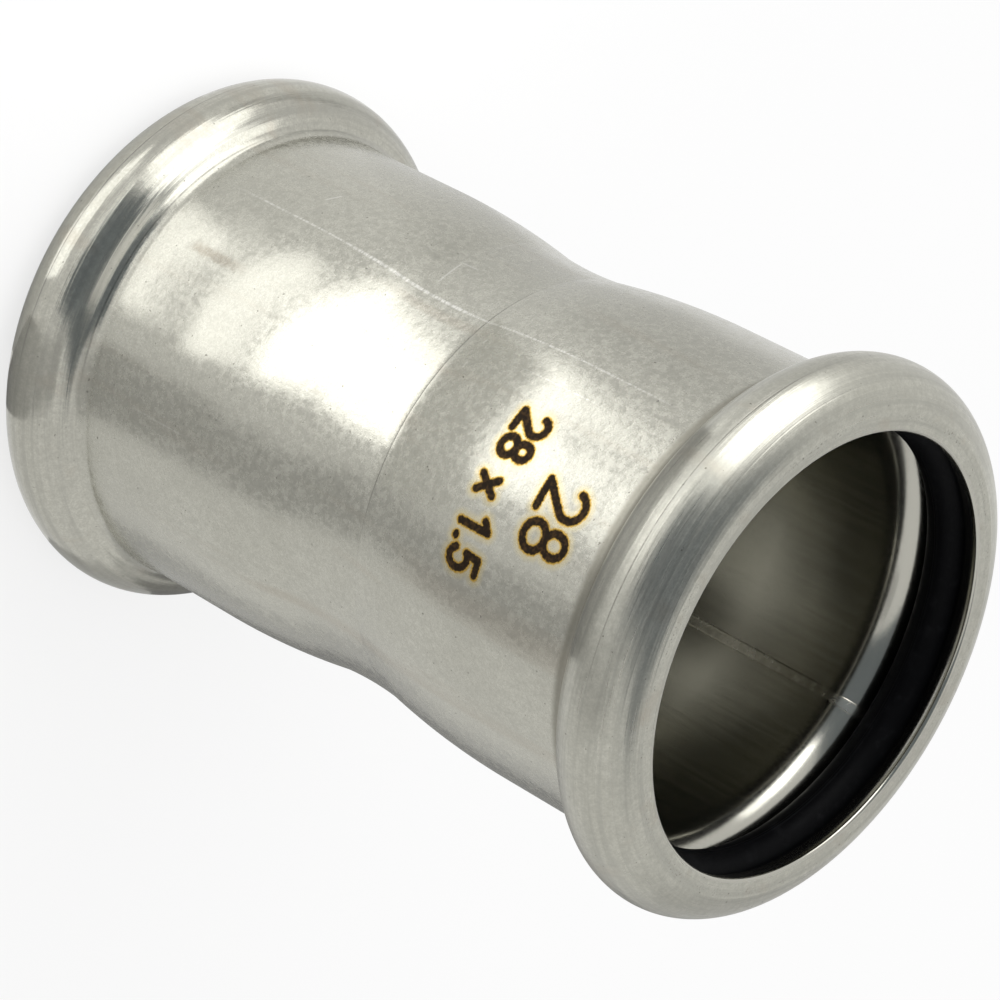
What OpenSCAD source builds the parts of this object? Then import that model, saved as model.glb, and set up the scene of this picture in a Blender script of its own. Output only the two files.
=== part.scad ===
// Straight press coupling for thin-walled metal tube. One length of tube is formed
// into a waist that stops the two tubes, a plain socket on each side of it, and a
// rounded bead at each end. A ring seal lies in the hollow inside each bead.
// Z is the axis of the fitting, and the origin is the middle of its waist.

/* [Socket] */
// Outside diameter of the tube that is pushed in
tube_d = 28; // [22:0.5:35]
// Room between that tube and the socket, on the radius
socket_play = 0.15; // [0.05:0.05:0.4]
// Wall thickness of the fitting
wall = 1.5; // [1.2:0.1:1.8]
// Distance from the middle to where the straight socket begins
socket_start = 12.5; // [10:0.5:15]

/* [Waist] */
// How far the waist is drawn in below the socket
waist_depth = 0.98; // [0.7:0.01:1.3]
// Radius of the hollow round the waist, seen in section
waist_hollow_r = 32; // [24:1:48]
// Distance from the middle to the crease at each end of that hollow
waist_crease = 3.2; // [2:0.1:4]

/* [Seal] */
// Thickness of the seal's round section
seal_section = 2.95; // [2.4:0.05:3.3]
// Room between the tube and the seal before pressing, on the radius
seal_tube_play = 0.01; // [0:0.01:0.1]
// Gap between the seal and the floor of its groove
seal_gap = 0.05; // [0.02:0.01:0.1]
// How much larger the groove's round section is than the seal's, on the radius
groove_room = 0.325; // [0.2:0.025:0.5]

/* [Bead] */
// Distance from the middle to the crest of each bead
bead_position = 24.75; // [22:0.05:30]
// Wall thickness of the bead, which thins as the tube is pressed out
bead_wall = 1.2; // [1:0.05:1.5]
// Radius of the hollow corner between the bead and the socket
bead_fillet = 1.3; // [0.6:0.1:2]
// Depth faced off the front of the bead to give the fitting flat ends
end_facing = 0.05; // [0.02:0.01:0.15]

/* [Mouth] */
// Room between the tube and the rim of the mouth, on the radius
mouth_play = 0.42; // [0.3:0.01:0.6]
// Radius of the rim's rounded edge
mouth_edge = 0.2; // [0.1:0.05:0.3]

/* [Hidden] */
$fn = 180;

// Lengths that place an arc are kept to a whole micrometre, so that arcs meet their
// neighbours exactly. Rounded corners bite this far into both sides, and areas that
// are joined overlap by the lap.
function to_micrometre(length) = round(length * 1000) / 1000;
corner_bite = 0.002;
lap = 0.5;

// The straight socket, inside and outside
socket_r = tube_d / 2 + socket_play;
outer_r = socket_r + wall;

// The waist: a hollow between two creases, and a long round shoulder from each crease
// that runs out flush with the socket
waist_r = outer_r - waist_depth;
crease_r = waist_r + waist_hollow_r - sqrt(pow(waist_hollow_r, 2) - pow(waist_crease, 2));
shoulder_run = socket_start - waist_crease;
shoulder_drop = outer_r - crease_r;
shoulder_r = to_micrometre((pow(shoulder_run, 2) + pow(shoulder_drop, 2)) / (2 * shoulder_drop));
hollow_reach = to_micrometre(waist_crease + shoulder_run / 8);

// The seal, the groove round it, and the bead that the wall makes round the groove
seal_ring_r = tube_d / 2 + seal_tube_play + seal_section / 2;
groove_floor_r = seal_ring_r + seal_section / 2 + seal_gap;
groove_r = seal_section / 2 + groove_room;
bead_r = groove_r + bead_wall;
bead_crest_r = groove_floor_r + bead_wall;
bead_centre = [groove_floor_r - groove_r, bead_position];
end_z = bead_position + bead_r - end_facing;

// The rim of the mouth: the curled end of the wall, cut square to it. The cut lies on a
// line from the bead's centre, at this angle to the section's radius.
mouth_r = tube_d / 2 + mouth_play;
cut_angle = acos((mouth_r - bead_centre.x) / bead_r);
function along(angle) = [cos(angle), sin(angle)];

// A rectangle of the half section, from the axis out to a radius
module band(radius, low, high) {
    polygon([[0, low], [radius, low], [radius, high], [0, high]]);
}

// The areas below fill the half section from the axis out to the formed tube. Depth is
// how far under the tube's outer face they stop: nothing for the outside, the wall for
// the inside. The bead has its own depth, because its wall is thinner.
module waist_area(depth) {
    difference() {
        band(crease_r + lap, -hollow_reach, hollow_reach);
        translate([waist_r + waist_hollow_r, 0]) circle(waist_hollow_r + depth);
    }
}

module shoulder_area(depth) {
    intersection() {
        translate([outer_r - shoulder_r, socket_start]) circle(shoulder_r - depth);
        band(outer_r, 0, socket_start);
    }
}

// The corner between socket and bead, as an arc that touches both
module fillet_area(depth, bead_depth) {
    radius = bead_fillet + (depth + bead_depth) / 2;
    to_bead_r = bead_r - bead_depth + radius;
    centre_r = outer_r - depth + radius;
    drop = sqrt(pow(to_bead_r, 2) - pow(centre_r - bead_centre.x, 2));
    centre = [centre_r, to_micrometre(bead_position - drop)];
    to_bead = (bead_centre - centre) / to_bead_r;
    reach = radius + lap;
    difference() {
        polygon([
            centre,
            centre + reach * to_bead,
            [centre.x - reach, bead_position],
            centre - [reach, 0]
        ]);
        translate(centre) circle(radius + corner_bite);
    }
}

module formed_area(depth, bead_depth) {
    waist_area(depth);
    for (end = [0, 1]) mirror([0, end]) {
        shoulder_area(depth);
        band(outer_r - depth, socket_start, bead_position);
        fillet_area(depth, bead_depth);
        translate(bead_centre) circle(bead_r - bead_depth);
    }
}

// The opening of one end: all that lies inside the cut, and the rim's rounded edge
module mouth_area() {
    reach = bead_r + lap;
    polygon([
        [0, bead_position],
        bead_centre,
        bead_centre + reach * along(cut_angle),
        [0, bead_position + reach]
    ]);
    edge_angle = cut_angle - asin(mouth_edge / (bead_r - mouth_edge));
    edge_centre = bead_centre + (bead_r - mouth_edge) * along(edge_angle);
    difference() {
        polygon([
            edge_centre,
            bead_centre + reach * along(edge_angle),
            bead_centre + reach * along(cut_angle + 5),
            edge_centre + (mouth_edge + lap) * along(cut_angle + 90)
        ]);
        translate(edge_centre) circle(mouth_edge + corner_bite);
    }
}

module fitting_body() {
    color("#b5b2aa") rotate_extrude() difference() {
        intersection() {
            formed_area(0, 0);
            band(bead_crest_r + lap, -end_z, end_z);
        }
        formed_area(wall, bead_wall);
        for (end = [0, 1]) mirror([0, end]) mouth_area();
    }
}

module ring_seal(height) {
    color("#17181a") rotate_extrude() {
        translate([seal_ring_r, height]) circle(d = seal_section);
    }
}

module upper_seal() ring_seal(bead_position);

module lower_seal() ring_seal(-bead_position);

fitting_body();
upper_seal();
lower_seal();
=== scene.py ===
from math import acos, asin, atan2, cos, pi, radians, sin, sqrt

import bmesh
import bpy
from mathutils import Matrix, Vector


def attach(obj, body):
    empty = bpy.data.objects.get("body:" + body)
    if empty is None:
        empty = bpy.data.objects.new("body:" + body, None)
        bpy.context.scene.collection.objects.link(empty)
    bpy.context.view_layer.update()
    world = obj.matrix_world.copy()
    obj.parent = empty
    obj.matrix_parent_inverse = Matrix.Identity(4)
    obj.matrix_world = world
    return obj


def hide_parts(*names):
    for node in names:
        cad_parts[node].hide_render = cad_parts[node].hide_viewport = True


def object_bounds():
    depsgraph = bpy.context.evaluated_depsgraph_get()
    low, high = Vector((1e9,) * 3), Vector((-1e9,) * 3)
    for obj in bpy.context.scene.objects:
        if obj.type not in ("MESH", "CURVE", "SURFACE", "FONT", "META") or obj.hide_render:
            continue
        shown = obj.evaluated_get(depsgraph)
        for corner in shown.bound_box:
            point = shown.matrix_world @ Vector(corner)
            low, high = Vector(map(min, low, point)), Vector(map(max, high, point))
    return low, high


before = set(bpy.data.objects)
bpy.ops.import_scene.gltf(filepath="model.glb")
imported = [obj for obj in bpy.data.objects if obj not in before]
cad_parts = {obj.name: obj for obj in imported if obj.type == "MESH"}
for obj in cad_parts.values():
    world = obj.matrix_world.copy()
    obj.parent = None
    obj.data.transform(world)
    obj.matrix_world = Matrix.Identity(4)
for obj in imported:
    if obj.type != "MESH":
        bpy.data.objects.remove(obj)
cad_low, cad_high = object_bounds()

# Fitting body. One length of welded stainless steel tube with a 1.5 mm wall, pressed out from inside
# into a waist, two sockets and two hollow beads, then faced flat at both ends. It is left satin, as
# formed: grainy on the sockets, brighter on the beads where the wall slid along the tool.
mm = 0.001
wall = 1.5 * mm
socket_outer = 15.65 * mm
socket_start = 12.5 * mm
waist_outer = 14.67 * mm
waist_crease = 3.2 * mm
hollow_radius = 32 * mm
bead_height = 24.75 * mm
bead_centre = 15.21 * mm
bead_section = 3.0 * mm
groove_section = 1.8 * mm
bead_fillet = 1.3 * mm
inner_fillet = 2.65 * mm
rim_radius = 14.42 * mm
rim_edge = 0.2 * mm
end_height = cad_high.z
turn_steps = 288
weld_azimuth = 83.0

hollow_centre = waist_outer + hollow_radius
crease_outer = hollow_centre - sqrt(hollow_radius ** 2 - waist_crease ** 2)
shoulder_run = socket_start - waist_crease
shoulder_drop = socket_outer - crease_outer
shoulder_radius = (shoulder_run ** 2 + shoulder_drop ** 2) / (2 * shoulder_drop)
shoulder_angle = asin(shoulder_run / shoulder_radius)
shoulder_centre = socket_outer - shoulder_radius
socket_bore = socket_outer - wall
fillet_centre = socket_outer + bead_fillet
fillet_angle = acos((fillet_centre - bead_centre) / (bead_section + bead_fillet))
fillet_height = bead_height - (bead_section + bead_fillet) * sin(fillet_angle)
contact_angle = acos((socket_bore + inner_fillet - bead_centre) / (groove_section + inner_fillet))
inner_height = bead_height - (groove_section + inner_fillet) * sin(contact_angle)
face_angle = asin((end_height - bead_height) / bead_section)
face_inner = bead_centre - bead_section * cos(face_angle)
cut_angle = acos((rim_radius - bead_centre) / bead_section)
edge_reach = bead_section - rim_edge
edge_angle = cut_angle - asin(rim_edge / edge_reach)


def start_section(radius, height):
    """Starts a section at a radius and a height."""
    section = bmesh.new()
    section.verts.new((radius, 0, height))
    section.verts.ensure_lookup_table()
    return section


def draw_line(section, radius, height):
    """Carries the section's last point straight to a radius and a height."""
    made = bmesh.ops.extrude_vert_indiv(section, verts=[section.verts[-1]])
    made["verts"][0].co = (radius, 0, height)
    section.verts.ensure_lookup_table()


def draw_arc(section, centre, middle_height, angle, steps):
    """Carries the section's last point round an arc about a centre in the section."""
    bmesh.ops.spin(
        section, geom=[section.verts[-1]], cent=(centre, 0, middle_height), axis=(0, -1, 0),
        angle=angle, steps=steps)
    section.verts.ensure_lookup_table()


def draw_bore(section):
    """Draws the inside of the wall from the groove's edge, over the socket, to the middle of the waist."""
    draw_arc(section, socket_bore + inner_fillet, inner_height, contact_angle, 14)
    draw_line(section, socket_bore, 0.5 * (socket_start + inner_height))
    draw_line(section, socket_bore, socket_start)
    draw_arc(section, shoulder_centre, socket_start, -shoulder_angle, 12)
    crease = section.verts[-1].co
    draw_arc(section, hollow_centre, 0, atan2(crease.z, hollow_centre - crease.x), 6)


# Half the wall's section: up the outside to the faced end, round the rim and down the inside
section = start_section(waist_outer, 0)
draw_arc(section, hollow_centre, 0, -asin(waist_crease / hollow_radius), 8)
draw_arc(section, shoulder_centre, socket_start, shoulder_angle, 14)
draw_line(section, socket_outer, 0.5 * (socket_start + fillet_height))
draw_line(section, socket_outer, fillet_height)
draw_arc(section, fillet_centre, fillet_height, -fillet_angle, 12)
draw_arc(section, bead_centre, bead_height, fillet_angle + face_angle, 36)
draw_line(section, face_inner, end_height)
draw_arc(section, bead_centre, bead_height, edge_angle - (pi - face_angle), 1)
draw_arc(
    section, bead_centre + edge_reach * cos(edge_angle), bead_height + edge_reach * sin(edge_angle),
    cut_angle + pi / 2 - edge_angle, 8)
draw_line(
    section, bead_centre + groove_section * cos(cut_angle),
    bead_height + groove_section * sin(cut_angle))
draw_arc(section, bead_centre, bead_height, -(cut_angle + contact_angle), 28)
draw_bore(section)


def turn_section(section, steps):
    """Mirrors a half section in the middle plane and spins it once round the axis."""
    bmesh.ops.mirror(section, geom=section.verts[:] + section.edges[:], axis="Z", merge_dist=1e-6)
    bmesh.ops.spin(
        section, geom=section.verts[:] + section.edges[:], cent=(0, 0, 0), axis=(0, 0, 1),
        angle=2 * pi, steps=steps, use_merge=True)
    bmesh.ops.remove_doubles(section, verts=section.verts[:], dist=1e-6)
    bmesh.ops.recalc_face_normals(section, faces=section.faces[:])
    for face in section.faces:
        face.smooth = True


def add_object(name, shape):
    """Makes an object of a finished bmesh."""
    mesh = bpy.data.meshes.new(name)
    shape.to_mesh(mesh)
    shape.free()
    thing = bpy.data.objects.new(name, mesh)
    bpy.context.scene.collection.objects.link(thing)
    return thing


def add_piece(name, shape):
    """Makes a piece of a finished bmesh and fixes it to the fitting."""
    piece = add_object(name, shape)
    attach(piece, "root")
    return piece


# Faces that look at the axis take the second finish. The faced ends and the upper crease are sharp.
turn_section(section, turn_steps)
for face in section.faces:
    middle = face.calc_center_median()
    face.material_index = int(face.normal.xy.dot(middle.xy.normalized()) < -0.01)
for edge in section.edges:
    heights = [vert.co.z for vert in edge.verts]
    radii = [vert.co.xy.length for vert in edge.verts]
    on_face = min(abs(height) for height in heights) > end_height - 1e-6
    on_crease = max(abs(height - waist_crease) for height in heights) < 1e-6 and min(radii) > socket_bore
    edge.smooth = not (on_face or on_crease)
body = add_piece("fitting_body_formed", section)
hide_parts("fitting_body")


def add_node(tree, kind, settings=None, **inputs):
    """Adds a node, sets its options, and sets or links its inputs, by name or, as _0, by number."""
    node = tree.nodes.new(kind)
    for option, value in (settings or {}).items():
        setattr(node, option, value)
    for name, value in inputs.items():
        socket = node.inputs[int(name[1:])] if name[0] == "_" else node.inputs[name.replace("_", " ")]
        if isinstance(value, bpy.types.NodeSocket):
            tree.links.new(value, socket)
        else:
            socket.default_value = value
    return node


def maths(tree, operation, first, second=0.0):
    """One step of arithmetic."""
    return add_node(tree, "ShaderNodeMath", {"operation": operation}, _0=first, _1=second).outputs[0]


def times(tree, first, *others):
    """Multiplies values together."""
    for other in others:
        first = maths(tree, "MULTIPLY", first, other)
    return first


def plus(tree, first, *others):
    """Adds values together."""
    for other in others:
        first = maths(tree, "ADD", first, other)
    return first


def apart(tree, value, level=0.0):
    """How far a value lies from a level, on either side."""
    return maths(tree, "ABSOLUTE", maths(tree, "SUBTRACT", value, level))


def fade(tree, value, start, end, first=1.0, last=0.0):
    """Runs smoothly from one level to another as a value goes from start to end."""
    return add_node(
        tree, "ShaderNodeMapRange", {"interpolation_type": "SMOOTHSTEP"}, Value=value,
        From_Min=start, From_Max=end, To_Min=first, To_Max=last).outputs["Result"]


def noise(tree, place, scale, detail=2.0, rough=0.5):
    """Cloudy noise, with its scale in spots to the millimetre."""
    return add_node(
        tree, "ShaderNodeTexNoise", Vector=place, Scale=scale, Detail=detail,
        Roughness=rough).outputs["Fac"]


def mix_colour(tree, share, first, second):
    """Lays a share of the second colour over the first."""
    return add_node(
        tree, "ShaderNodeMix", {"data_type": "RGBA"}, _0=share, _6=first, _7=second).outputs[2]


def mix_value(tree, share, first, second):
    """Goes from the first value to the second by a share."""
    return add_node(
        tree, "ShaderNodeMix", {"data_type": "FLOAT"}, _0=share, _2=first, _3=second).outputs[0]


def split(tree, place):
    """The three coordinates of a place."""
    return add_node(tree, "ShaderNodeSeparateXYZ", Vector=place).outputs


def millimetres(tree):
    """Object coordinates in millimetres."""
    place = add_node(tree, "ShaderNodeTexCoord").outputs["Object"]
    return add_node(tree, "ShaderNodeMapping", Vector=place, Scale=(1000, 1000, 1000)).outputs[0]


def start_finish(name):
    """Starts a material, and gives its tree, its shader and Object coordinates in millimetres."""
    material = bpy.data.materials.new(name)
    material.use_nodes = True
    tree = material.node_tree
    return material, tree, tree.nodes["Principled BSDF"], millimetres(tree)


def raise_surface(tree, shader, relief, step=mm):
    """Bumps the surface by a relief that is counted in steps."""
    bump = add_node(tree, "ShaderNodeBump", Height=relief, Strength=1.0, Distance=step)
    tree.links.new(bump.outputs["Normal"], shader.inputs["Normal"])


def turned(tree, place, azimuth):
    """Sideways and outward distance from a line that runs along the fitting at an azimuth."""
    turn = add_node(tree, "ShaderNodeMapping", Vector=place, Rotation=(0, 0, radians(-azimuth)))
    axes = split(tree, turn.outputs[0])
    return axes["Y"], axes["X"]


def add_stain(tree, place, mottle, grain, colour):
    """One brown stain along the lower socket, with a ragged edge."""
    level = split(tree, place)["Z"]
    aside, out = turned(tree, place, -105.6)
    aside = plus(tree, aside, times(tree, maths(tree, "SUBTRACT", mottle, 0.5), 0.7))
    stain = times(
        tree, fade(tree, apart(tree, aside), 0.1, 0.55, 0.7, 0.0),
        fade(tree, grain, 0.3, 0.65, 0.6, 1.0), maths(tree, "GREATER_THAN", out, 0.0),
        fade(tree, level, -18.6, -17.6, 0.0, 1.0), fade(tree, level, -15.4, -12.6))
    return mix_colour(tree, stain, colour, (0.25, 0.22, 0.175, 1))


def add_seams(tree, place, rings, colour):
    """The light seam that the forming tool left along the fitting, ticked across, and two faint lines."""
    level = split(tree, place)["Z"]
    ticked = fade(tree, rings, 0.4, 0.58, 0.15, 1.0)
    # Azimuth, width, lower and upper end, and strength
    for azimuth, wide, low, high, share in (
            (-124.3, 0.14, -9.0, 3.0, 0.75),
            (-124.3, 0.08, -20.5, 21.4, 0.65),
            (-115.9, 0.05, 8.0, 15.5, 0.3),
            (-65.0, 0.05, -17.0, -11.5, 0.3)):
        aside, out = turned(tree, place, azimuth)
        seam = times(
            tree, fade(tree, apart(tree, aside), 0.5 * wide, 1.3 * wide, share, 0.0),
            maths(tree, "GREATER_THAN", out, 0.0),
            fade(tree, level, low, 0.85 * low + 0.15 * high, 0.0, 1.0),
            fade(tree, level, 0.2 * low + 0.8 * high, high), ticked)
        colour = mix_colour(tree, seam, colour, (0.72, 0.71, 0.66, 1))
    return colour


def add_scratches(tree, place, colour):
    """Light scratches from handling."""
    # Azimuth, height, tilt, length and strength
    for azimuth, at, tilt, long, share in (
            (-133.2, -2.38, 7.5, 2.7, 0.5),
            (-138.5, -1.97, 97.5, 1.3, 0.5),
            (-134.7, -13.13, -25.6, 1.3, 0.5),
            (-160.0, -3.1, 8.9, 7.0, 0.2),
            (-110.9, 4.6, 4.0, 0.6, 0.4),
            (-118.6, 4.45, -8.0, 0.4, 0.4)):
        turn = add_node(
            tree, "ShaderNodeMapping", Vector=place, Location=(0, 0, -at),
            Rotation=(0, 0, radians(-azimuth)))
        tilted = add_node(
            tree, "ShaderNodeMapping", Vector=turn.outputs[0], Rotation=(radians(-tilt), 0, 0))
        axes = split(tree, tilted.outputs[0])
        scratch = times(
            tree, fade(tree, apart(tree, axes["Z"]), 0.03, 0.09, share, 0.0),
            fade(tree, apart(tree, axes["Y"]), 0.3 * long, 0.55 * long),
            maths(tree, "GREATER_THAN", axes["X"], 0.0))
        colour = mix_colour(tree, scratch, colour, (0.68, 0.67, 0.62, 1))
    return colour


def add_tool_lines_and_painted_shade(tree, place, radius, mottle, colour, dents):
    """The creases round the waist and the tools' parting lines on each bead: dents, darkened with painted
    shade, plainest on the side that takes the highlights.
    """
    level = split(tree, place)["Z"]
    height = apart(tree, level)
    out = turned(tree, place, -104.0)[1]
    highlight_side_share = fade(tree, maths(tree, "DIVIDE", out, radius), 0.72, 0.95, 0.12, 1.0)
    crease = waist_crease / mm
    # Height, what it is measured by, width, strength and tone of the painted shade
    for at, measure, wide, share, tone in (
            (crease, level, 0.045, 0.7, 0.13),
            (-crease, level, 0.04, 0.1, 0.13),
            (25.0, height, 0.05, 0.6, 0.12),
            (21.62, height, 0.05, 0.6, 0.12)):
        # The dark colour of each line is painted shade; only its dent is relief
        line = times(
            tree, fade(tree, apart(tree, measure, at), 0.3 * wide, 1.5 * wide, share, 0.0),
            fade(tree, mottle, 0.35, 0.55, 0.5, 1.0), highlight_side_share)
        colour = mix_colour(tree, line, colour, (tone, 0.97 * tone, 0.86 * tone, 1))
        dents = maths(tree, "SUBTRACT", dents, times(tree, line, 0.005))
    return colour, dents


def satin_steel(name):
    """Formed steel outside: grain, stains, pits, tool lines along and round it with painted shade in the
    round ones, painted shade in the corner behind the upper bead, and polished rings on its beads.
    """
    material, tree, shader, place = start_finish(name)
    shader.inputs["Metallic"].default_value = 1.0
    axes = split(tree, place)
    height = apart(tree, axes["Z"])
    flat = add_node(tree, "ShaderNodeVectorMath", {"operation": "MULTIPLY"}, _0=place, _1=(1, 1, 0))
    radius = add_node(
        tree, "ShaderNodeVectorMath", {"operation": "LENGTH"}, _0=flat.outputs[0]).outputs["Value"]
    socket_end = 20.6
    bead_start = 22.4
    on_bead = fade(tree, height, socket_end, bead_start, 0.0, 1.0)
    upper = fade(tree, axes["Z"], 0.0, 20.0, 0.0, 1.0)
    grain = noise(tree, place, 7.0, 2.0, 0.6)
    mottle = noise(tree, place, 2.2, 3.0, 0.6)
    cloud = noise(tree, place, 0.25, 3.0, 0.6)
    along = add_node(tree, "ShaderNodeMapping", Vector=place, Scale=(1, 1, 0.03)).outputs[0]
    drawn = noise(tree, along, 4.0, 2.0, 0.6)
    round_place = add_node(
        tree, "ShaderNodeCombineXYZ", X=plus(tree, radius, times(tree, axes["X"], 0.03)),
        Y=plus(tree, axes["Z"], times(tree, axes["Y"], 0.03))).outputs[0]
    rings = noise(tree, round_place, 6.0, 3.0, 0.6)
    streaks = noise(tree, round_place, 1.6, 3.0, 0.65)

    # Warm grey, cloudy with handling and drawing lubricant, and worn in streaks on the beads
    colour = mix_colour(
        tree, fade(tree, cloud, 0.35, 0.65, 0.0, 1.0), (0.482, 0.475, 0.415, 1), (0.52, 0.513, 0.45, 1))
    colour = mix_colour(tree, fade(tree, mottle, 0.2, 0.75, 0.75, 0.0), colour, (0.37, 0.364, 0.318, 1))
    colour = mix_colour(tree, fade(tree, grain, 0.3, 0.7, 0.5, 0.0), colour, (0.35, 0.343, 0.297, 1))
    worn = times(tree, fade(tree, streaks, 0.3, 0.6, 0.65, 0.0), on_bead)
    colour = mix_colour(tree, worn, colour, (0.33, 0.326, 0.288, 1))
    brown = fade(tree, noise(tree, along, 0.45, 2.0), 0.58, 0.75, 0.0, 0.4)
    colour = mix_colour(tree, brown, colour, (0.37, 0.335, 0.275, 1))
    colour = add_stain(tree, place, mottle, grain, colour)
    colour = add_seams(tree, place, rings, colour)
    colour = add_scratches(tree, place, colour)

    # Small dark pits, and a scuffed ring where the faced ends have stood
    pits = fade(tree, noise(tree, place, 3.1, 1.0), 0.755, 0.8, 0.0, 0.7)
    scuff = times(
        tree, fade(tree, apart(tree, radius, 15.4), 0.1, 0.3), fade(tree, height, 27.55, 27.65, 0.0, 1.0),
        fade(tree, grain, 0.28, 0.42, 0.7, 0.0), fade(tree, cloud, 0.42, 0.6, 0.0, 1.0))
    colour = mix_colour(tree, maths(tree, "MAXIMUM", pits, scuff), colour, (0.12, 0.113, 0.095, 1))
    # Tool lines round the fitting: dents, with painted shade in their colour
    colour, dents = add_tool_lines_and_painted_shade(tree, place, radius, mottle, colour, times(tree, pits, -0.004))

    # The corner behind the upper bead was formed free of the tool, and is dull; its colour is also
    # darkened there, which is painted shade in the corner
    corner = fade(tree, apart(tree, axes["Z"], 21.3), 0.3, 0.9)
    colour = mix_colour(tree, times(tree, corner, 0.7), colour, (0.17, 0.16, 0.128, 1))
    tree.links.new(colour, shader.inputs["Base Color"])

    # The upper bead is more brushed than the lower one
    socket_rough = fade(tree, mottle, 0.3, 0.7, 0.19, 0.32)
    bead_rough = plus(tree, fade(tree, rings, 0.3, 0.7, 0.14, 0.25), times(tree, upper, 0.13))
    rough = mix_value(tree, on_bead, socket_rough, bead_rough)
    tree.links.new(mix_value(tree, corner, rough, 0.42), shader.inputs["Roughness"])

    # Relief, in millimetres
    relief = plus(
        tree, times(tree, mottle, 0.0115), times(tree, cloud, 0.05), times(tree, grain, 0.0025),
        times(tree, drawn, 0.002))
    relief = times(tree, relief, fade(tree, height, socket_end, bead_start, 1.0, 0.3))
    brushed = times(tree, rings, fade(tree, axes["Z"], 0.0, 20.0, 0.006, 0.015))
    polish = times(tree, plus(tree, brushed, times(tree, streaks, 0.03)), on_bead)
    raise_surface(tree, shader, plus(tree, relief, polish, dents))
    return material


def bore_steel(name):
    """Formed steel inside: smooth and clean, with faint drawing lines and a warmer strip at the weld."""
    material, tree, shader, place = start_finish(name)
    shader.inputs["Metallic"].default_value = 1.0
    in_bead = fade(tree, apart(tree, split(tree, place)["Z"]), 20.2, 21.0, 0.0, 1.0)
    grain = noise(tree, place, 6.0, 2.0, 0.6)
    cloud = noise(tree, place, 0.4, 3.0, 0.6)
    along = add_node(tree, "ShaderNodeMapping", Vector=place, Scale=(1, 1, 0.05)).outputs[0]
    drawn = noise(tree, along, 2.5, 2.0, 0.6)
    colour = mix_colour(
        tree, fade(tree, cloud, 0.35, 0.65, 0.0, 1.0), (0.545, 0.537, 0.478, 1), (0.57, 0.562, 0.502, 1))
    colour = mix_colour(tree, fade(tree, drawn, 0.35, 0.65, 0.2, 0.0), colour, (0.52, 0.51, 0.45, 1))
    colour = mix_colour(tree, fade(tree, grain, 0.3, 0.7, 0.25, 0.0), colour, (0.48, 0.473, 0.42, 1))
    aside, out = turned(tree, place, weld_azimuth)
    tint = times(
        tree, fade(tree, apart(tree, aside), 0.4, 3.0, 0.3, 0.0), maths(tree, "GREATER_THAN", out, 0.0))
    colour = mix_colour(tree, tint, colour, (0.53, 0.505, 0.43, 1))
    colour = mix_colour(tree, times(tree, in_bead, 0.8), colour, (0.4, 0.392, 0.345, 1))
    tree.links.new(colour, shader.inputs["Base Color"])
    rough = mix_value(
        tree, in_bead, fade(tree, drawn, 0.3, 0.7, 0.17, 0.2), fade(tree, grain, 0.3, 0.7, 0.15, 0.22))
    tree.links.new(rough, shader.inputs["Roughness"])
    raise_surface(tree, shader, plus(tree, times(tree, drawn, 0.0008), times(tree, grain, 0.0015)))
    return material


body.data.materials.append(satin_steel("satin_steel"))
body.data.materials.append(bore_steel("bore_steel"))

# Weld bead. The strip that the tube was made from is butt welded along its length, and the weld stands
# a few hundredths of a millimetre proud inside. Outside it was dressed away before forming.
weld_middle = radians(weld_azimuth)
weld_half_width = 0.4 * mm
weld_crown = 0.03 * mm
weld_sunk = 0.015 * mm
weld_depth = 0.2 * mm
weld_steps = 16
weld_turn = 2 * weld_half_width / socket_bore


def back_skin(shape, depth):
    """Gives an open skin a back, a depth further from the axis, and closes it all round."""
    made = bmesh.ops.extrude_face_region(shape, geom=shape.faces[:], use_keep_orig=True)
    for item in made["geom"]:
        if isinstance(item, bmesh.types.BMVert):
            item.co.xy *= 1 + depth / item.co.xy.length
    bmesh.ops.recalc_face_normals(shape, faces=shape.faces[:])
    for face in shape.faces:
        face.smooth = True


weld = start_section(
    bead_centre + groove_section * cos(contact_angle), bead_height - groove_section * sin(contact_angle))
draw_bore(weld)
bmesh.ops.mirror(weld, geom=weld.verts[:] + weld.edges[:], axis="Z", merge_dist=1e-6)
bmesh.ops.rotate(
    weld, verts=weld.verts[:], cent=(0, 0, 0),
    matrix=Matrix.Rotation(weld_middle - weld_turn / 2, 3, "Z"))
bmesh.ops.spin(
    weld, geom=weld.verts[:] + weld.edges[:], cent=(0, 0, 0), axis=(0, 0, 1),
    angle=weld_turn, steps=weld_steps)
bmesh.ops.remove_doubles(weld, verts=weld.verts[:], dist=1e-7)
bmesh.ops.recalc_face_normals(weld, faces=weld.faces[:])
if sum(face.normal.xy.dot(face.calc_center_median().xy) for face in weld.faces) > 0:
    bmesh.ops.reverse_faces(weld, faces=weld.faces[:])
weld.normal_update()
for vert in weld.verts:
    aside = (atan2(vert.co.y, vert.co.x) - weld_middle) / (weld_turn / 2)
    proud = weld_crown * max(0, 1 - abs(aside) ** 3) ** 0.5 - weld_sunk * abs(aside) ** 4
    vert.co += vert.normal * proud
back_skin(weld, weld_depth)
weld_piece = add_piece("weld_bead", weld)

weld_steel, tree, shader, place = start_finish("weld_steel")
shader.inputs["Metallic"].default_value = 1.0
aside = apart(tree, turned(tree, place, weld_azimuth)[0])
ripple = noise(tree, place, 1.6, 3.0)
colour = mix_colour(tree, fade(tree, ripple, 0.35, 0.65), (0.57, 0.555, 0.49, 1), (0.54, 0.52, 0.45, 1))
colour = mix_colour(tree, fade(tree, aside, 0.24, 0.34, 0.0, 0.35), colour, (0.24, 0.22, 0.175, 1))
tree.links.new(colour, shader.inputs["Base Color"])
tree.links.new(fade(tree, ripple, 0.3, 0.7, 0.2, 0.28), shader.inputs["Roughness"])
raise_surface(tree, shader, times(tree, ripple, 0.002))
weld_piece.data.materials.append(weld_steel)

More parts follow.
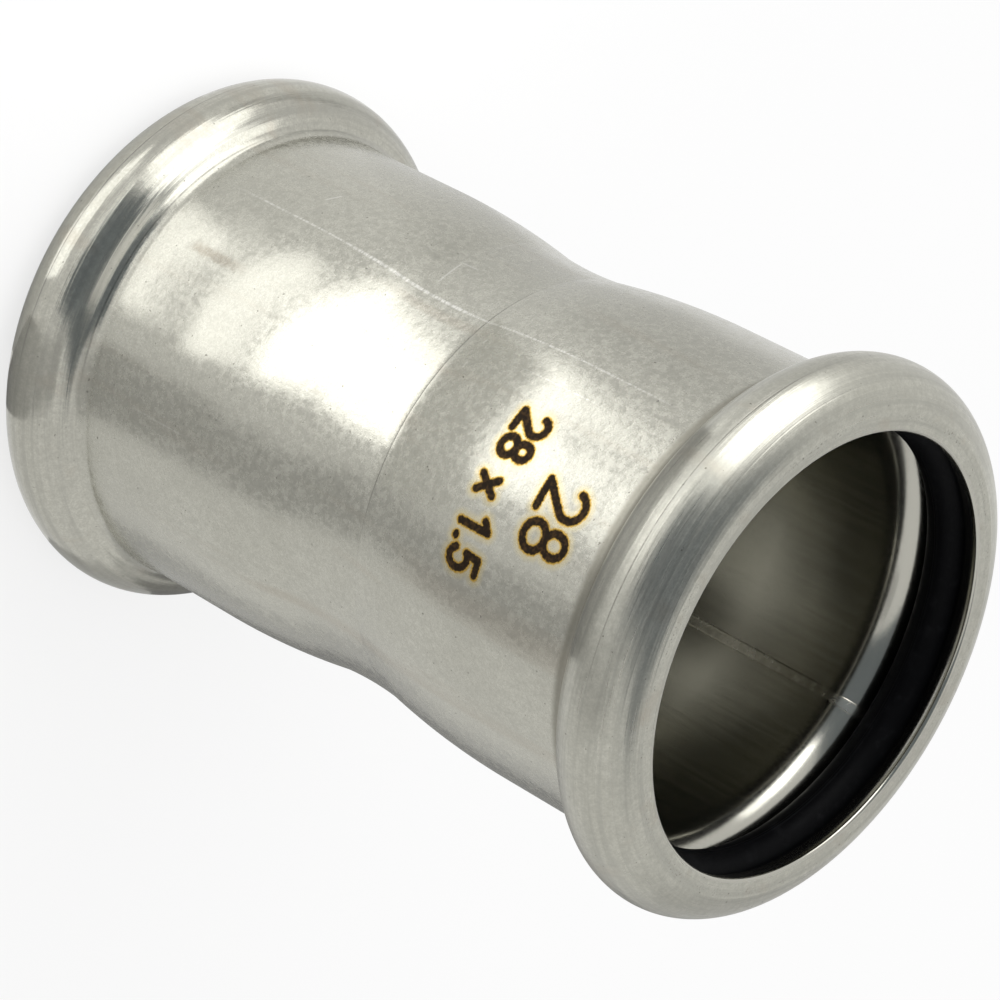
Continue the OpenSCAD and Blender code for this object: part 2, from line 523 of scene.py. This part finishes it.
# Size mark. A laser has burnt the tube's outside diameter and wall into the upper socket, upright as
# the fitting stands: dark brown strokes of two or three passes, with a straw coloured edge.
mark_azimuth = radians(-88.5)
mark_height = 14.4 * mm
mark_wide = 14.0 * mm
mark_tall = 10.4 * mm
mark_proud = 0.003 * mm
mark_depth = 0.05 * mm
mark_cell = 0.085 * mm
large_row_tall = 3.3 * mm
large_row_low = 0.9 * mm
small_row_tall = 2.3 * mm
small_row_low = -3.6 * mm


def stroke_arc(across, up, wide, tall, start, end, steps=14):
    """Points round an arc of a numeral, in shares of its height."""
    turns = [radians(start + (end - start) * step / steps) for step in range(steps + 1)]
    return [(across + wide * cos(turn), up + tall * sin(turn)) for turn in turns]


# The room that each numeral takes in its row, and its strokes
numerals = {
    "2": (0.76, [stroke_arc(0.3, 0.71, 0.27, 0.28, 165, -38) + [(0.03, 0.01), (0.58, 0.01)]]),
    "8": (0.76, [stroke_arc(0.3, 0.75, 0.22, 0.24, 0, 360), stroke_arc(0.3, 0.26, 0.27, 0.25, 0, 360)]),
    "1": (0.62, [[(0.08, 0.77), (0.33, 0.98), (0.33, 0.0)]]),
    "5": (0.7, [
        [(0.53, 0.99), (0.13, 0.99), (0.09, 0.55)] + stroke_arc(0.28, 0.32, 0.27, 0.31, 125, -150)]),
    "x": (0.66, [[(0.06, 0.02), (0.5, 0.6)], [(0.06, 0.6), (0.5, 0.02)]]),
    ".": (0.34, [[(0.1, 0.02), (0.13, 0.02)]]),
    " ": (0.4, []),
}


def write_row(text, tall, low):
    """Strokes of a row of numerals, centred on the mark, as short straight lines."""
    across = -0.5 * tall * (sum(numerals[letter][0] for letter in text) - 0.15)
    lines = []
    for letter in text:
        step, strokes = numerals[letter]
        for stroke in strokes:
            points = [(across + tall * x, low + tall * y) for x, y in stroke]
            lines += list(zip(points[:-1], points[1:]))
        across += tall * step
    return lines


def stroke_distance(x, y, lines):
    """Distance from a place on the mark to its nearest stroke."""
    nearest = 1.0
    for (x0, y0), (x1, y1) in lines:
        run, rise = x1 - x0, y1 - y0
        share = ((x - x0) * run + (y - y0) * rise) / (run * run + rise * rise)
        share = min(1.0, max(0.0, share))
        nearest = min(nearest, (x - x0 - share * run) ** 2 + (y - y0 - share * rise) ** 2)
    return sqrt(nearest)


mark_lines = write_row("28", large_row_tall, large_row_low)
mark_lines += write_row("28 x 1.5", small_row_tall, small_row_low)
mark = bmesh.new()
bmesh.ops.create_grid(
    mark, x_segments=round(mark_wide / mark_cell), y_segments=round(mark_tall / mark_cell), size=0.5)
burn = mark.verts.layers.float.new("stroke_distance")
for vert in mark.verts:
    x, y = vert.co.x * mark_wide, vert.co.y * mark_tall
    vert[burn] = stroke_distance(x, y, mark_lines) / mm
    below = max(0.0, socket_start - mark_height - y)
    radius = shoulder_centre + sqrt(shoulder_radius ** 2 - below ** 2) + mark_proud
    turn = mark_azimuth + x / socket_outer
    vert.co = (radius * cos(turn), radius * sin(turn), mark_height + y)
back_skin(mark, -mark_depth)
for edge in mark.edges:
    edge.smooth = edge.calc_face_angle(pi) < radians(30)
mark_piece = add_piece("size_mark", mark)

marked_steel = satin_steel("marked_steel")
tree = marked_steel.node_tree
shader = tree.nodes["Principled BSDF"]
place = millimetres(tree)
away = add_node(tree, "ShaderNodeAttribute", {"attribute_name": "stroke_distance"}).outputs["Fac"]
ragged = noise(tree, place, 6.0, 3.0, 0.6)
away = plus(tree, away, times(tree, maths(tree, "SUBTRACT", ragged, 0.5), 0.22))
steel_colour = shader.inputs["Base Color"].links[0].from_socket
colour = mix_colour(tree, fade(tree, away, 0.36, 0.85, 0.75, 0.0), steel_colour, (0.52, 0.46, 0.29, 1))
colour = mix_colour(tree, fade(tree, away, 0.27, 0.42), colour, (0.45, 0.28, 0.05, 1))
passes = fade(tree, noise(tree, place, 4.0, 2.0, 0.6), 0.45, 0.65, 0.0, 0.6)
burnt = mix_colour(tree, passes, (0.012, 0.007, 0.003, 1), (0.05, 0.027, 0.009, 1))
colour = mix_colour(tree, fade(tree, away, 0.2, 0.31), colour, burnt)
tree.links.new(colour, shader.inputs["Base Color"])
shader.inputs["Specular IOR Level"].default_value = 0.08
tree.links.new(fade(tree, away, 0.2, 0.32, 0.05, 1.0), shader.inputs["Metallic"])
steel_rough = shader.inputs["Roughness"].links[0].from_socket
rough = mix_value(tree, fade(tree, away, 0.2, 0.34), steel_rough, 0.62)
tree.links.new(rough, shader.inputs["Roughness"])
mark_piece.data.materials.append(marked_steel)

# Ring seals. Two black rubber rings, moulded in halves, snapped into the grooves behind the rims. They
# keep their solids; a fine mould line and the dull, slightly dusty skin of the rubber are added.
seal_relief = 0.008 * mm
seal_rubber, tree, shader, place = start_finish("seal_rubber")
shader.inputs["Specular IOR Level"].default_value = 0.04
skin_grain = noise(tree, place, 9.0, 3.0, 0.6)
dust = noise(tree, place, 1.1, 4.0, 0.65)
colour = mix_colour(
    tree, fade(tree, dust, 0.5, 0.8, 0.0, 1.0), (0.0024, 0.0025, 0.003, 1), (0.007, 0.0072, 0.008, 1))
tree.links.new(colour, shader.inputs["Base Color"])
tree.links.new(fade(tree, dust, 0.3, 0.7, 0.4, 0.55), shader.inputs["Roughness"])
height = apart(tree, split(tree, place)["Z"])
mould_line = fade(tree, apart(tree, height, bead_height / mm), 0.05, 0.12, 3.0, 0.0)
raise_surface(tree, shader, plus(tree, skin_grain, mould_line), seal_relief)
for name in ("upper_seal", "lower_seal"):
    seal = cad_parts[name]
    seal.data.materials.clear()
    seal.data.materials.append(seal_rubber)
    for face in seal.data.polygons:
        face.use_smooth = True

# Floor. A wide sheet of plain white paper under the lower end, which runs out into the white
# background and keeps a faint shadow of the fitting.
floor_radius = 2.5
ground = bmesh.new()
bmesh.ops.create_circle(ground, cap_ends=True, segments=64, radius=floor_radius)
bmesh.ops.translate(ground, verts=ground.verts[:], vec=(0, 0, cad_low.z))
floor = add_object("floor", ground)
paper = bpy.data.materials.new("white_paper")
paper.use_nodes = True
tree = paper.node_tree
tree.nodes.remove(tree.nodes["Principled BSDF"])
path = add_node(tree, "ShaderNodeLightPath").outputs
seen = plus(tree, path["Is Camera Ray"], path["Is Glossy Ray"], path["Is Transmission Ray"])
sheet = add_node(tree, "ShaderNodeBsdfDiffuse", Color=(0.85, 0.85, 0.85, 1))
glow = add_node(tree, "ShaderNodeEmission", Color=(1, 1, 1, 1), Strength=1.0)
both = add_node(
    tree, "ShaderNodeMixShader", _0=times(tree, seen, 0.7), _1=sheet.outputs[0], _2=glow.outputs[0])
tree.links.new(both.outputs[0], tree.nodes["Material Output"].inputs["Surface"])
floor.data.materials.append(paper)

# Light. A white studio all round and a large softbox beside the fitting. Small panels beside it and on
# the floor give the steel its highlights, a strip before and behind lights the beads, and cards that
# only the steel's reflections show give it its darker tones.
world = bpy.data.worlds.new("studio")
bpy.context.scene.world = world
world.use_nodes = True
world.node_tree.nodes["Background"].inputs["Color"].default_value = (1, 1, 1, 1)
world.node_tree.nodes["Background"].inputs["Strength"].default_value = 1.0


def spot(azimuth, distance, height):
    """A place round the fitting."""
    return Vector((distance * cos(radians(azimuth)), distance * sin(radians(azimuth)), height))


def add_lamp(name, place, wide, high, glow, aim):
    """An evenly lit rectangle that faces a point; glow is the brightness of its face."""
    data = bpy.data.lights.new(name, "AREA")
    data.shape = "RECTANGLE"
    data.size = wide
    data.size_y = high
    data.energy = glow * pi * wide * high
    lamp = bpy.data.objects.new(name, data)
    lamp.location = place
    lamp.rotation_euler = (place - aim).to_track_quat("Z", "Y").to_euler()
    lamp.visible_camera = False
    bpy.context.scene.collection.objects.link(lamp)


up = Vector((0, 0, 1))
side_place = spot(-149, 0.0606, 0.04)
rear_place = spot(-157.6, 0.0289, 0)
add_lamp("softbox", spot(-155, 0.33, 0.08), 0.3, 0.28, 1.7, Vector((0, 0, 0)))
add_lamp("side_panel", side_place, 0.044, 0.056, 1.7, side_place + spot(23, 1, 0))
add_lamp("rear_panel", rear_place, 0.0225, 0.026, 1.4, rear_place - up)
# Panels that face up: azimuth, distance, height, the two sides and brightness
for name, azimuth, distance, height, wide, high, glow in (
        ("toe_panel", -104, 0.023, -0.0272, 0.016, 0.006, 1.3),
        ("near_low", -106, 0.0218, -0.022, 0.017, 0.0065, 0.3),
        ("near_high", -106, 0.0245, -0.018, 0.02, 0.008, 1.3),
        ("floor_panel", -117, 0.04, -0.015, 0.043, 0.0205, 2.2),
        ("mark_panel", -103, 0.0534, -0.015, 0.024, 0.012, 2.0),
        ("middle_panel", -112, 0.077, -0.0265, 0.064, 0.014, 0.4),
        ("far_panel", -110, 0.16, -0.0265, 0.12, 0.11, 1.8)):
    place = spot(azimuth, distance, height)
    add_lamp(name, place, wide, high, glow, place + up)
add_lamp("back_strip", spot(95, 0.22, 0.027), 0.12, 0.022, 0.8, Vector((0, 0, 0.027)))
add_lamp("low_strip", spot(-110, 0.22, 0.009), 0.11, 0.027, 1.3, Vector((0, 0, 0.009)))


def add_card(name, shape, tone, cool=0.0):
    """A matt card that only the reflections in the steel show; cool turns its grey towards blue."""
    card = add_object(name, shape)
    card.visible_camera = False
    card.visible_shadow = False
    card.visible_diffuse = False
    felt = bpy.data.materials.new(name)
    felt.use_nodes = True
    shader = felt.node_tree.nodes["Principled BSDF"]
    shader.inputs["Base Color"].default_value = (tone * (1 - cool), tone, tone * (1 + cool), 1)
    shader.inputs["Roughness"].default_value = 1.0
    shader.inputs["Specular IOR Level"].default_value = 0.0
    card.data.materials.append(felt)


def turn_shape(shape, angle, axis):
    """Turns a whole bmesh about one of the fitting's axes, by an angle in degrees."""
    bmesh.ops.rotate(
        shape, verts=shape.verts[:], cent=(0, 0, 0), matrix=Matrix.Rotation(radians(angle), 3, axis))


def bent_card(azimuth, aside, start, corner, lip, start_wide, wide, lift=0.0005):
    """A card that lies on the floor, beside a line from the axis, with its outer end bent up."""
    shape = bmesh.new()
    low = cad_low.z + lift
    edge = shape.edges.new([shape.verts.new((start, side * start_wide / 2, low)) for side in (-1, 1)])
    for radius, height in ((corner, low), (corner + 0.001, lip)):
        made = bmesh.ops.extrude_edge_only(shape, edges=[edge])["geom"]
        edge = [item for item in made if isinstance(item, bmesh.types.BMEdge)][0]
        for vert in edge.verts:
            vert.co = (radius, (wide if vert.co.y > 0 else -wide) / 2, height)
    bmesh.ops.translate(shape, verts=shape.verts[:], vec=(0, aside, 0))
    turn_shape(shape, azimuth, "Z")
    return shape


def ring_card(height, inner, outer, start, end):
    """A flat card, part of a ring round the fitting from one azimuth to another."""
    shape = bmesh.new()
    shape.edges.new([shape.verts.new((radius, 0, height)) for radius in (inner, outer)])
    turn_shape(shape, start, "Z")
    bmesh.ops.spin(
        shape, geom=shape.verts[:] + shape.edges[:], cent=(0, 0, 0), axis=(0, 0, 1),
        angle=radians(end - start), steps=16)
    return shape


# A dark strip that rises before the fitting and bends over it, behind the camera
hood_radius = 0.42
hood_half_width = 0.2
hood_turn = -6
hood = bmesh.new()
hood.edges.new([hood.verts.new((side * hood_half_width, -hood_radius, 0)) for side in (-1, 1)])
turn_shape(hood, hood_turn, "X")
bmesh.ops.spin(
    hood, geom=hood.verts[:] + hood.edges[:], cent=(0, 0, 0), axis=(-1, 0, 0),
    angle=radians(105), steps=24)
turn_shape(hood, hood_turn, "Z")
add_card("dark_hood", hood, 0.24, 0.1)

# Bent cards: azimuth, step aside, start, corner, top of the lip, width at the start and beyond it
add_card("grey_card", bent_card(-44, -0.0061, 0.0165, 0.13, 0.1, 0.007, 0.062), 0.55)
add_card("pale_shade_card", bent_card(62, -0.015, 0.005, 0.085, -0.006, 0.008, 0.08), 0.68)
add_card("shade_card", bent_card(62, 0.001, 0.005, 0.084, -0.006, 0.022, 0.06, 0.001), 0.3)
add_card("back_card", bent_card(72, 0, 0.09, 0.24, 0.15, 0.09, 0.26), 0.65)
add_card("left_card", bent_card(180, -0.012, 0.014, 0.11, -0.01, 0.008, 0.11), 0.72)
# Ring cards: height, inner and outer radius, first and last azimuth
add_card("waist_shade", ring_card(0.002, 0.01575, 0.0245, -130, -75), 0.85)
add_card("collar_shade", ring_card(0.0207, 0.0161, 0.0213, -122, -65), 0.5)
add_card("foot_shade", ring_card(cad_low.z + 0.0003, 0.0165, 0.0196, -140, -65), 0.82)

# Camera. A long lens above the mouth, turned about its own axis as the photograph is, so that the
# standing fitting lies across the picture.
view_elevation = 36.4226
view_roll = 118.353
view_place = (0.000566, -0.001171, 0.264326)
camera_data = bpy.data.cameras.new("camera")
camera_data.sensor_width = 36
camera_data.lens = 150.549
camera_data.clip_start = 0.01
camera_data.clip_end = 10
camera = bpy.data.objects.new("camera", camera_data)
view_tilt = Matrix.Rotation(radians(90 - view_elevation), 4, "X")
view_turn = view_tilt @ Matrix.Rotation(radians(view_roll), 4, "Z")
camera.matrix_world = view_turn @ Matrix.Translation(view_place)
bpy.context.scene.collection.objects.link(camera)
bpy.context.scene.camera = camera
bpy.context.scene.view_settings.view_transform = "Standard"
